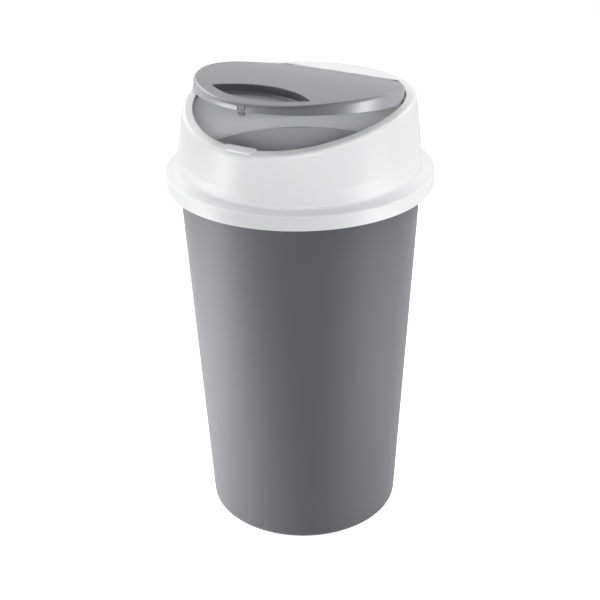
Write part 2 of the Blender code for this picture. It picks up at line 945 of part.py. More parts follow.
def make_bracket(pivot):
    """A U of two ears, a floor and a back, with a screwed flange on each side."""
    inner = neck_width / 2 + ear_gap
    outer = inner + ear_wall
    web = inner + ear_wall / 2
    floor = pivot.z - bracket_floor_drop
    flange_top = crown(-screw_y) - screw_boss_depth - piece_gap
    flange_back = -screw_y - flange_depth / 2
    back, front = -pivot_y - bracket_back_reach, -pivot_y + bracket_front_reach
    outline = [
        (back, floor),
        (front, floor),
        (front, flange_top - piece_gap),
        (flange_back + piece_gap, flange_top - piece_gap),
        (back, floor + bracket_back_height),
    ]
    bracket = block(
        "latch_bracket",
        (-web, back + piece_gap, floor + piece_gap),
        (web, front - piece_gap, floor + bracket_floor),
        parts,
        white,
    )
    added = [
        block(
            "bracket_back",
            (-web, back + piece_gap * 2, floor + piece_gap * 2),
            (web, back + ear_wall, floor + bracket_back_height - piece_gap),
            cutters,
        )
    ]
    hole_length = 2 * outer + cut_over
    holes = [
        rod(
            "bracket_pin_hole", pivot, pin_radius + piece_gap, hole_length, "X", small_steps, cutters
        )
    ]
    for side, sign in (("right", 1), ("left", -1)):
        ends = sorted((sign * inner, sign * outer))
        added.append(slab("bracket_ear_" + side, outline, ends[0], ends[1], cutters))
        ends = sorted((sign * web, sign * (outer + flange_reach)))
        added.append(
            block(
                "bracket_flange_" + side,
                (ends[0], flange_back, flange_top - flange_thickness),
                (ends[1], flange_back + flange_depth, flange_top),
                cutters,
            )
        )
        place = (sign * screw_offset, -screw_y, flange_top)
        holes.append(
            rod(
                "flange_hole_" + side,
                place,
                screw_hole_radius,
                flange_thickness + cut_over,
                "Z",
                small_steps,
                cutters,
            )
        )
    combine(bracket, added, "UNION")
    combine(bracket, holes, "DIFFERENCE")
    soften(bracket)


def make_latch_pin(pivot):
    length = neck_width + 2 * (ear_gap + ear_wall + pin_overhang)
    pin = rod("latch_pin", pivot, pin_radius, length, "X", small_steps, parts, steel)
    soften(pin)


def make_tab_spring(pivot):
    low = pivot.z - bracket_floor_drop + bracket_floor + piece_gap + tab_spring_wire / 2
    high = pivot.z + lever_foot_rise - piece_gap - tab_spring_wire / 2
    pitch = (high - low) / tab_spring_turns
    base = Vector((0, -pivot_y - tab_spring_offset, low))
    coil = helix(tab_spring_radius, pitch, tab_spring_turns, 0)
    print(f"tab_spring least gap to itself {self_gap(coil, tab_spring_wire) * 1000:.2f} mm")
    spring = wire("tab_spring", [point + base for point in coil], tab_spring_wire, parts, steel)
    soften(spring, 60)


def make_latch_screw(side, sign):
    under = crown(-screw_y) - screw_boss_depth - piece_gap - flange_thickness
    head_top = under - piece_gap
    top = under + screw_length
    x, y = sign * screw_offset, -screw_y
    name = "latch_screw_" + side
    middle = (x, y, head_top - screw_head_height / 2)
    screw = rod(
        name, middle, screw_head_radius, screw_head_height, "Z", small_steps, parts, steel
    )
    shank = rod(
        "screw_shank_" + side,
        (x, y, (middle[2] + top) / 2),
        screw_shank_radius,
        top - middle[2],
        "Z",
        small_steps,
        cutters,
    )
    combine(screw, [shank], "UNION")
    soften(screw)


for old in list(bpy.data.objects):
    bpy.data.objects.remove(old)
parts = collection("press_lid_bin")
cutters = collection("cutters")
grey = plastic("grey_plastic", (0.17, 0.172, 0.18), 0.42)
white = plastic("white_plastic", (0.82, 0.82, 0.82), 0.25)
steel = plastic("spring_steel", (0.62, 0.62, 0.63), 0.3, 1.0)

hinge = Vector((0, hinge_y, lid_height - barrel_radius))
lever_pivot = Vector((0, -pivot_y, crown(-pivot_y) - pivot_drop))
flap_hinge = bpy.data.objects.new("flap_hinge", None)
parts.objects.link(flap_hinge)
flap_hinge.location = hinge
flap_hinge.rotation_euler = (-flap_open, 0, 0)

make_bucket()
make_lid()
make_flap(flap_hinge, hinge)
make_striker(flap_hinge, hinge)
make_hinge_rod()
make_flap_spring("right", 1)
make_flap_spring("left", -1)
make_release_tab(lever_pivot)
make_bracket(lever_pivot)
make_latch_pin(lever_pivot)
make_tab_spring(lever_pivot)
make_latch_screw("right", 1)
make_latch_screw("left", -1)
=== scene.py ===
import math

import bmesh
import bpy
from mathutils import Matrix, Vector


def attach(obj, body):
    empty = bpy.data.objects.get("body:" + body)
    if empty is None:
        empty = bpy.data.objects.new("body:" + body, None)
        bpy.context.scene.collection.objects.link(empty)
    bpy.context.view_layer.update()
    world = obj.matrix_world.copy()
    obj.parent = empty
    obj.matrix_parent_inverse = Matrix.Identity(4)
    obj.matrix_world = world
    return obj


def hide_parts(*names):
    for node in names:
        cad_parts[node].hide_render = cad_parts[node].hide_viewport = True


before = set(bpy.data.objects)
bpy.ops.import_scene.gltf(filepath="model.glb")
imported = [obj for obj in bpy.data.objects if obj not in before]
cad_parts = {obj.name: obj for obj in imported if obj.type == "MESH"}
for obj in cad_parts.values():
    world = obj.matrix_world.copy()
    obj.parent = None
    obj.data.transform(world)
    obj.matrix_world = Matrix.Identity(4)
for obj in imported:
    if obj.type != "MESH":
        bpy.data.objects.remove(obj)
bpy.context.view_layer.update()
print("frame loaded:", ", ".join(sorted(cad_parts)))

# lengths are in metres; the object stands on z = 0 and its front is towards -Y
meshValues = {
    "level": 1e-6,  # vertices this near to a height lie on it, and nearer than this are one
    "weld": 1e-5,  # the same, after a mesh is cut into strips
    "crease": 0.5,  # radians, above which an edge is rounded
    "roundSteps": 2,  # of a block's edges
    "rodSteps": 48,
    "rodRoundSteps": 3,
    "sharpDegrees": 35,
    "keptSharpDegrees": 50,
    "normalWeight": 60,
}


# height of the curved top
def crown(y):
    reach = max(lidValues["crownStart"] - y, 0)
    radius = lidValues["crownRadius"]
    return lidValues["height"] - (radius - math.sqrt(radius**2 - reach**2))


def smooth(value, low, high):
    share = min(max((value - low) / (high - low), 0), 1)
    return share * share * (3 - 2 * share)


# a profile of (r, z, fillet, steps) corners, with an arc at each fillet
def roundedLine(corners):
    points = []
    for index, (r, z, fillet, steps) in enumerate(corners):
        here = Vector((r, z))
        if not fillet or index in (0, len(corners) - 1):
            points.append(here)
            continue
        before = Vector(corners[index - 1][:2]) - here
        after = Vector(corners[index + 1][:2]) - here
        turn = before.angle(after)
        cut = fillet / math.tan(turn / 2)
        aim = (before.normalized() + after.normalized()).normalized()
        middle = here + aim * fillet / math.sin(turn / 2)
        start = here + before.normalized() * cut - middle
        end = here + after.normalized() * cut - middle
        sweep = start.angle_signed(end)
        for step in range(steps + 1):
            points.append(middle + Matrix.Rotation(-sweep * step / steps, 2) @ start)
    return points


def newObject(name, bm, material=None):
    bmesh.ops.recalc_face_normals(bm, faces=bm.faces)
    mesh = bpy.data.meshes.new(name)
    bm.to_mesh(mesh)
    bm.free()
    obj = bpy.data.objects.new(name, mesh)
    bpy.context.scene.collection.objects.link(obj)
    if material:
        mesh.materials.append(material)
    return obj


# makes the object's modifiers part of its mesh
def bake(obj):
    bpy.context.view_layer.update()
    graph = bpy.context.evaluated_depsgraph_get()
    mesh = bpy.data.meshes.new_from_object(obj.evaluated_get(graph))
    obj.modifiers.clear()
    obj.data = mesh


def combine(obj, tools, operation):
    for tool in tools:
        boolean = obj.modifiers.new(tool.name, "BOOLEAN")
        boolean.operation = operation
        boolean.solver = "EXACT"
        boolean.object = tool
    bake(obj)
    for tool in tools:
        bpy.data.objects.remove(tool)


# an outline pushed from low to high, along Z or along X
def prism(name, outline, low, high, axis="Z", material=None):
    bm = bmesh.new()
    if axis == "Z":
        face = bm.faces.new([bm.verts.new((a, b, low)) for a, b in outline])
        shift = (0, 0, high - low)
    else:
        face = bm.faces.new([bm.verts.new((low, a, b)) for a, b in outline])
        shift = (high - low, 0, 0)
    made = bmesh.ops.extrude_face_region(bm, geom=[face])
    top = [item for item in made["geom"] if isinstance(item, bmesh.types.BMVert)]
    bmesh.ops.translate(bm, verts=top, vec=shift)
    return newObject(name, bm, material)


# a box between two corners
def block(name, low, high, rounding=0):
    bm = bmesh.new()
    bmesh.ops.create_cube(bm, size=1)
    bmesh.ops.scale(bm, vec=[b - a for a, b in zip(low, high)], verts=bm.verts)
    bmesh.ops.translate(bm, vec=[(a + b) / 2 for a, b in zip(low, high)], verts=bm.verts)
    if rounding:
        bevelEdges(bm, bm.edges[:], rounding, meshValues["roundSteps"])
    return newObject(name, bm)


def rod(name, centre, radius, length, axis="X", steps=meshValues["rodSteps"], rounding=0):
    bm = bmesh.new()
    bmesh.ops.create_cone(
        bm, cap_ends=True, segments=steps, radius1=radius, radius2=radius, depth=length
    )
    if rounding:
        ends = [e for e in bm.edges if abs(e.verts[0].co.z - e.verts[1].co.z) < meshValues["level"]]
        bevelEdges(bm, ends, rounding, meshValues["rodRoundSteps"])
    if axis == "X":
        bmesh.ops.rotate(bm, cent=(0, 0, 0), matrix=Matrix.Rotation(math.pi / 2, 3, "Y"), verts=bm.verts)
    bmesh.ops.translate(bm, vec=centre, verts=bm.verts)
    return newObject(name, bm)


def bevelEdges(bm, edges, width, segments):
    bmesh.ops.bevel(
        bm,
        geom=edges,
        offset=width,
        segments=segments,
        profile=0.5,
        affect="EDGES",
        material=-1,
        clamp_overlap=True,
    )


# rounds the sharp edges at one height, or those of them that keep picks
def roundLevel(obj, level, width, segments, keep=None):
    bm = bmesh.new()
    bm.from_mesh(obj.data)
    edges = []
    for edge in bm.edges:
        flat = all(abs(v.co.z - level) < meshValues["level"] for v in edge.verts)
        if flat and edge.calc_face_angle(0) > meshValues["crease"] and (keep is None or keep(edge)):
            edges.append(edge)
    bevelEdges(bm, edges, width, segments)
    bm.to_mesh(obj.data)
    bm.free()


def bendToCrown(obj):
    for vertex in obj.data.vertices:
        vertex.co.z -= lidValues["height"] - crown(vertex.co.y)


# cuts the faces into strips across Y, so that they can bend
def sliceAlongY(obj, first, last, strip):
    bm = bmesh.new()
    bm.from_mesh(obj.data)
    count = round((last - first) / strip)
    for index in range(count + 1):
        cut = first + (last - first) * index / count
        bmesh.ops.bisect_plane(
            bm,
            geom=bm.verts[:] + bm.edges[:] + bm.faces[:],
            dist=meshValues["level"],
            plane_co=(0, cut, 0),
            plane_no=(0, 1, 0),
        )
    bmesh.ops.remove_doubles(bm, verts=bm.verts, dist=meshValues["weld"])
    bm.to_mesh(obj.data)
    bm.free()


# smooth shading with crisp edges, and normals weighted so that flats stay flat
def finishSurface(obj, degrees=meshValues["sharpDegrees"]):
    obj.data.shade_smooth()
    obj.data.set_sharp_from_angle(angle=math.radians(degrees))
    weighted = obj.modifiers.new("weightedNormal", "WEIGHTED_NORMAL")
    weighted.keep_sharp = True
    weighted.weight = meshValues["normalWeight"]


# adds the others' meshes to the target's
def join(target, others):
    bm = bmesh.new()
    bm.from_mesh(target.data)
    for other in others:
        bake(other)
        bm.from_mesh(other.data)
        bpy.data.objects.remove(other)
    bm.to_mesh(target.data)
    bm.free()


# the piece rides on a body and stands in for a node, which is hidden
def place(obj, body, node):
    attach(obj, body)
    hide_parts(node)


# materials

plasticPattern = {
    "grainDetail": 2.0,
    "flowScale": 14.0,
    "flowDetail": 3.0,
    "scuffStretch": (260.0, 260.0, 30.0),
    "scuffDetail": 4.0,
    "scuffStart": 0.66,
    "scuffFull": 0.8,
}
steelPattern = {
    "lineStretch": (300.0, 5000.0, 5000.0),
    "filmScale": 180.0,
    "filmDark": 0.85,  # tone under the film, and what its noise adds to tone and roughness
    "filmLight": 0.3,
    "filmGloss": 0.2,
}
# what the plastics share, where a material says nothing else
plasticFinish = {
    "Colour Change": 0.03,
    "Roughness Change": 0.05,
    "Grain Size": 0.0005,
    "Grain Height": 0.000012,
    "Flow Height": 0.00003,
    "Scuff Amount": 0.05,
}


def shaderGroup(name, inputs, outputs):
    tree = bpy.data.node_groups.new(name, "ShaderNodeTree")
    for label, kind, value in inputs:
        socket = tree.interface.new_socket(name=label, in_out="INPUT", socket_type=kind)
        socket.default_value = value
    for label, kind in outputs:
        tree.interface.new_socket(name=label, in_out="OUTPUT", socket_type=kind)
    return tree, tree.nodes.new("NodeGroupInput"), tree.nodes.new("NodeGroupOutput")


def addNode(tree, kind, **settings):
    node = tree.nodes.new(kind)
    for key, value in settings.items():
        setattr(node, key, value)
    return node


# a calculation with two sockets or numbers
def mathNode(tree, operation, first, second):
    node = addNode(tree, "ShaderNodeMath", operation=operation)
    for socket, value in zip(node.inputs, (first, second)):
        if hasattr(value, "is_output"):
            tree.links.new(value, socket)
        else:
            socket.default_value = value
    return node.outputs[0]


# moulded plastic: a fine grain, a slow flow of tone and gloss, and a few light scuffs
def mouldedPlastic(pattern):
    tree, start, end = shaderGroup(
        "mouldedPlastic",
        [
            ("Colour", "NodeSocketColor", (0.2, 0.2, 0.2, 1)),
            ("Colour Change", "NodeSocketFloat", 0.03),
            ("Roughness", "NodeSocketFloat", 0.4),
            ("Roughness Change", "NodeSocketFloat", 0.05),
            ("Grain Size", "NodeSocketFloat", 0.0006),
            ("Grain Height", "NodeSocketFloat", 0.00001),
            ("Flow Height", "NodeSocketFloat", 0.00002),
            ("Scuff Amount", "NodeSocketFloat", 0.05),
        ],
        [("Colour", "NodeSocketColor"), ("Roughness", "NodeSocketFloat"), ("Height", "NodeSocketFloat")],
    )
    where = addNode(tree, "ShaderNodeTexCoord").outputs["Object"]
    grain = addNode(tree, "ShaderNodeTexNoise")
    tree.links.new(where, grain.inputs["Vector"])
    tree.links.new(mathNode(tree, "DIVIDE", 1.0, start.outputs["Grain Size"]), grain.inputs["Scale"])
    grain.inputs["Detail"].default_value = pattern["grainDetail"]
    flow = addNode(tree, "ShaderNodeTexNoise")
    tree.links.new(where, flow.inputs["Vector"])
    flow.inputs["Scale"].default_value = pattern["flowScale"]
    flow.inputs["Detail"].default_value = pattern["flowDetail"]
    stretch = addNode(tree, "ShaderNodeMapping")
    stretch.inputs["Scale"].default_value = pattern["scuffStretch"]
    tree.links.new(where, stretch.inputs["Vector"])
    scuff = addNode(tree, "ShaderNodeTexNoise")
    scuff.inputs["Scale"].default_value = 1.0
    scuff.inputs["Detail"].default_value = pattern["scuffDetail"]
    tree.links.new(stretch.outputs[0], scuff.inputs["Vector"])
    marks = addNode(tree, "ShaderNodeMapRange")
    marks.inputs["From Min"].default_value = pattern["scuffStart"]
    marks.inputs["From Max"].default_value = pattern["scuffFull"]
    tree.links.new(scuff.outputs["Fac"], marks.inputs["Value"])

    shift = mathNode(tree, "SUBTRACT", flow.outputs["Fac"], 0.5)
    tone = mathNode(tree, "MULTIPLY", shift, start.outputs["Colour Change"])
    scale = mathNode(tree, "ADD", mathNode(tree, "MULTIPLY", tone, 2.0), 1.0)
    colour = addNode(tree, "ShaderNodeVectorMath", operation="SCALE")
    tree.links.new(start.outputs["Colour"], colour.inputs[0])
    tree.links.new(scale, colour.inputs["Scale"])
    tree.links.new(colour.outputs[0], end.inputs["Colour"])

    gloss = mathNode(tree, "MULTIPLY", shift, start.outputs["Roughness Change"])
    worn = mathNode(tree, "MULTIPLY", marks.outputs[0], start.outputs["Scuff Amount"])
    gloss = mathNode(tree, "ADD", mathNode(tree, "ADD", start.outputs["Roughness"], gloss), worn)
    tree.links.new(gloss, end.inputs["Roughness"])

    fine = mathNode(tree, "MULTIPLY", grain.outputs["Fac"], start.outputs["Grain Height"])
    slow = mathNode(tree, "MULTIPLY", flow.outputs["Fac"], start.outputs["Flow Height"])
    tree.links.new(mathNode(tree, "ADD", fine, slow), end.inputs["Height"])
    return tree


# drawn wire: fine lines and a faint film of oil
def drawnSteel(pattern):
    tree, start, end = shaderGroup(
        "drawnSteel",
        [
            ("Colour", "NodeSocketColor", (0.6, 0.6, 0.6, 1)),
            ("Roughness", "NodeSocketFloat", 0.25),
            ("Line Height", "NodeSocketFloat", 0.000006),
        ],
        [("Colour", "NodeSocketColor"), ("Roughness", "NodeSocketFloat"), ("Height", "NodeSocketFloat")],
    )
    where = addNode(tree, "ShaderNodeTexCoord").outputs["Object"]
    stretch = addNode(tree, "ShaderNodeMapping")
    stretch.inputs["Scale"].default_value = pattern["lineStretch"]
    tree.links.new(where, stretch.inputs["Vector"])
    lines = addNode(tree, "ShaderNodeTexNoise")
    lines.inputs["Scale"].default_value = 1.0
    tree.links.new(stretch.outputs[0], lines.inputs["Vector"])
    film = addNode(tree, "ShaderNodeTexNoise")
    film.inputs["Scale"].default_value = pattern["filmScale"]
    tree.links.new(where, film.inputs["Vector"])
    tone = mathNode(tree, "MULTIPLY", film.outputs["Fac"], pattern["filmLight"])
    tone = mathNode(tree, "ADD", tone, pattern["filmDark"])
    colour = addNode(tree, "ShaderNodeVectorMath", operation="SCALE")
    tree.links.new(start.outputs["Colour"], colour.inputs[0])
    tree.links.new(tone, colour.inputs["Scale"])
    tree.links.new(colour.outputs[0], end.inputs["Colour"])
    gloss = mathNode(tree, "MULTIPLY", film.outputs["Fac"], pattern["filmGloss"])
    tree.links.new(mathNode(tree, "ADD", gloss, start.outputs["Roughness"]), end.inputs["Roughness"])
    height = mathNode(tree, "MULTIPLY", lines.outputs["Fac"], start.outputs["Line Height"])
    tree.links.new(height, end.inputs["Height"])
    return tree


# a material whose colour, roughness and bump come from a shared group
def makeMaterial(name, group, values, fixed):
    material = bpy.data.materials.new(name)
    material.use_nodes = True
    tree = material.node_tree
    shader = tree.nodes["Principled BSDF"]
    effect = addNode(tree, "ShaderNodeGroup", node_tree=group)
    for label, value in values.items():
        effect.inputs[label].default_value = value
    tree.links.new(effect.outputs["Colour"], shader.inputs["Base Color"])
    tree.links.new(effect.outputs["Roughness"], shader.inputs["Roughness"])
    relief = addNode(tree, "ShaderNodeBump")
    relief.inputs["Strength"].default_value = 1.0
    relief.inputs["Distance"].default_value = 1.0
    tree.links.new(effect.outputs["Height"], relief.inputs["Height"])
    tree.links.new(relief.outputs["Normal"], shader.inputs["Normal"])
    for label, value in fixed.items():
        shader.inputs[label].default_value = value
    return material


plasticGroup = mouldedPlastic(plasticPattern)
steelGroup = drawnSteel(steelPattern)
greyBody = makeMaterial(
    "greyBody",
    plasticGroup,
    {
        **plasticFinish,
        "Colour": (0.058, 0.0565, 0.068, 1),
        "Roughness": 0.6,
    },
    {"Metallic": 0.0, "IOR": 1.5, "Sheen Weight": 0.3, "Sheen Roughness": 0.6},
)
# painted light: the bucket's inside grey is far lighter than its outside grey, standing in for the light
# that reaches in
greyInside = makeMaterial(
    "greyInside",
    plasticGroup,
    {
        **plasticFinish,
        "Colour": (0.6, 0.592, 0.63, 1),
        "Roughness": 0.5,
    },
    {"Metallic": 0.0, "IOR": 1.49},
)
greyFlap = makeMaterial(
    "greyFlap",
    plasticGroup,
    {
        **plasticFinish,
        "Colour": (0.183, 0.1803, 0.194, 1),
        "Roughness": 0.4,
        "Grain Height": 0.00001,
        "Scuff Amount": 0.06,
    },
    {"Metallic": 0.0, "IOR": 1.49},
)
whiteLid = makeMaterial(
    "whiteLid",
    plasticGroup,
    {
        **plasticFinish,
        "Colour": (0.862, 0.857, 0.872, 1),
        "Colour Change": 0.01,
        "Roughness": 0.36,
        "Roughness Change": 0.04,
        "Grain Size": 0.0009,
        "Grain Height": 0.000001,
        "Flow Height": 0.00006,
    },
    {
        "Metallic": 0.0,
        "IOR": 1.5,
        "Subsurface Weight": 1.0,
        "Subsurface Radius": (1.0, 1.0, 1.0),
        "Subsurface Scale": 0.004,
    },
)
wireSteel = makeMaterial(
    "wireSteel",
    steelGroup,
    {"Colour": (0.62, 0.62, 0.63, 1), "Roughness": 0.22},
    {"Metallic": 1.0},
)
print("materials made")


# bucket

bucketValues = {
    "height": 0.5432,
    "mouthRadius": 0.1720,
    "footRadius": 0.1420,
    "wall": 0.0024,
    "footCorner": 0.0110,
    "ringInner": 0.1240,  # the foot is a ring round a raised base
    "stepInner": 0.1210,
    "footRise": 0.0030,
    "blend": 0.0020,
    "edge": 0.0009,
    "rimRadius": 0.1871,
    "rimLow": 0.5302,
    "steps": 288,
    "sharpDegrees": 40,
    "upward": 0.5,  # low down, a face whose normal rises by more than this is inside too
}


def makeBucket(values, material, inside):
    def outer(z):
        share = z / values["height"]
        return values["footRadius"] + (values["mouthRadius"] - values["footRadius"]) * share

    wall, height = values["wall"], values["height"]
    corners = [
        (0, values["footRise"] + wall, 0, 0),
        (values["stepInner"], values["footRise"] + wall, values["blend"], 5),
        (values["ringInner"], wall, values["blend"], 5),
        (outer(wall) - wall, wall, values["footCorner"] - wall, 12),
        (outer(height) - wall, height, values["edge"], 5),
        (values["rimRadius"], height, values["blend"], 6),
        (values["rimRadius"], values["rimLow"], values["edge"], 5),
        (values["rimRadius"] - wall, values["rimLow"], values["edge"], 5),
        (values["rimRadius"] - wall, height - wall, values["edge"], 4),
        (outer(height - wall), height - wall, values["blend"], 5),
        (values["footRadius"], 0, values["footCorner"], 14),
        (values["ringInner"], 0, values["blend"], 5),
        (values["stepInner"], values["footRise"], values["blend"], 5),
        (0, values["footRise"], 0, 0),
    ]
    bm = bmesh.new()
    points = [bm.verts.new((p.x, 0, p.y)) for p in roundedLine(corners)]
    edges = [bm.edges.new(pair) for pair in zip(points, points[1:])]
    bmesh.ops.spin(
        bm,
        geom=points + edges,
        cent=(0, 0, 0),
        axis=(0, 0, 1),
        angle=2 * math.pi,
        steps=values["steps"],
        use_merge=True,
    )
    bmesh.ops.remove_doubles(bm, verts=bm.verts, dist=meshValues["level"])
    bucket = newObject("bucket", bm, material)
    # painted light: the inside takes a flatter grey, far lighter than the outside's, standing in for the
    # light that reaches into the bucket
    bucket.data.materials.append(inside)
    for face in bucket.data.polygons:
        centre, normal = face.center, face.normal
        inward = centre.xy.dot(normal.xy) < 0 and centre.xy.length < values["mouthRadius"]
        base = normal.z > values["upward"] and centre.z < values["footCorner"]
        face.material_index = int(inward or base)
    finishSurface(bucket, values["sharpDegrees"])
    place(bucket, "bin", "bin_body")


makeBucket(bucketValues, greyBody, greyInside)
print("bucket made")


# lid ring

lidValues = {
    "height": 0.6502,  # of the top at the hinge
    "wall": 0.0022,
    "lipRadius": 0.1622,
    "lipRound": 0.0055,
    "collarRadius": 0.1710,
    "collarStraightTop": 0.5795,
    "collarBlend": 0.030,
    "ledgeTop": 0.5482,
    "ledgeFillet": 0.0035,
    "bandTop": 0.5453,
    "bandRadius": 0.1900,
    "bandRound": 0.0018,
    "bandBottom": 0.5250,
    "bandWall": 0.0024,
    "bandUnder": 0.5435,
    "edgeRound": 0.0007,  # of the small edges
    "mouthRadius": 0.1472,
    "mouthRound": 0.0009,
    "mouthLipDepth": 0.0090,
    "mouthLipWall": 0.0020,
    "lipFadeStart": 0.1000,  # the mouth's lip runs out between these two places
    "lipFadeEnd": 0.1060,
    "crownStart": 0.0650,  # the top is level behind this, and falls to the front before it
    "crownRadius": 0.6860,
    "bendLow": 0.5520,  # the bend of the top fades out between these two heights
    "bendHigh": 0.6400,
    "hingeY": 0.1135,
    "hingeDepth": 0.0055,  # below the top
    "boreRadius": 0.0018,  # for the hinge rod
    "chordY": 0.1198,  # the straight back of the mouth
    "pocketSide": 0.0990,  # the pockets beside the flap, for the rod and its springs
    "pocketCorner": 0.0095,
    "pocketInner": 0.0845,
    "pocketFloor": 0.0070,
    "pocketFront": 0.0060,
    "pocketWall": 0.0015,
    "pocketRound": 0.0004,
    "bossOuter": 0.1050,
    "clipMouth": 0.0026,  # the slit through which the rod snaps in
    "lugInner": 0.0730,  # the lugs that the springs press on
    "lugOuter": 0.0790,
    "lugFront": 0.0090,
    "lugBack": 0.0120,
    "lugDrop": 0.0016,
    "screwX": 0.0180,
    "screwY": -0.1530,
    "screwBossRadius": 0.0034,
    "screwBossTop": 0.00154,  # below the top, within its wall
    "screwBossDepth": 0.0075,  # of its underside, below the top
    "screwBossSteps": 40,
    "screwHoleRadius": 0.0016,
    "screwHoleSteps": 32,
    "slotHalf": 0.0076,  # for the neck of the release tab
    "slotBack": -0.1561,
    "slotFront": -0.1489,
    "hookWayBack": -0.1498,
    "hookWayFront": -0.1452,
    "hookWayTop": 0.00253,  # below the top, just under its wall
    "sideDegrees": 44,  # of the turn round the axis, from the side to a corner of the mouth
    "sideSteps": 36,
    "cornerDegrees": 13,
    "cornerSteps": 60,
    "backSteps": 48,
    "frontSteps": 144,
}


# distance from the axis to the edge of the mouth: a circle, straight at the back and beside the hinge
def mouthEdge(angle, values):
    cosine, sine = abs(math.cos(angle)), math.sin(angle)
    side, chord, corner = values["pocketSide"], values["chordY"], values["pocketCorner"]
    arc = values["mouthRadius"]
    if sine <= 0 or arc * cosine > side:
        return arc
    if cosine > 0 and side / cosine * sine <= chord - corner:
        return side / cosine
    back = chord / sine
    if back * cosine <= side - corner:
        return back
    along = cosine * (side - corner) + sine * (chord - corner)
    across = (side - corner) ** 2 + (chord - corner) ** 2 - corner**2
    return along + math.sqrt(max(along * along - across, 0))


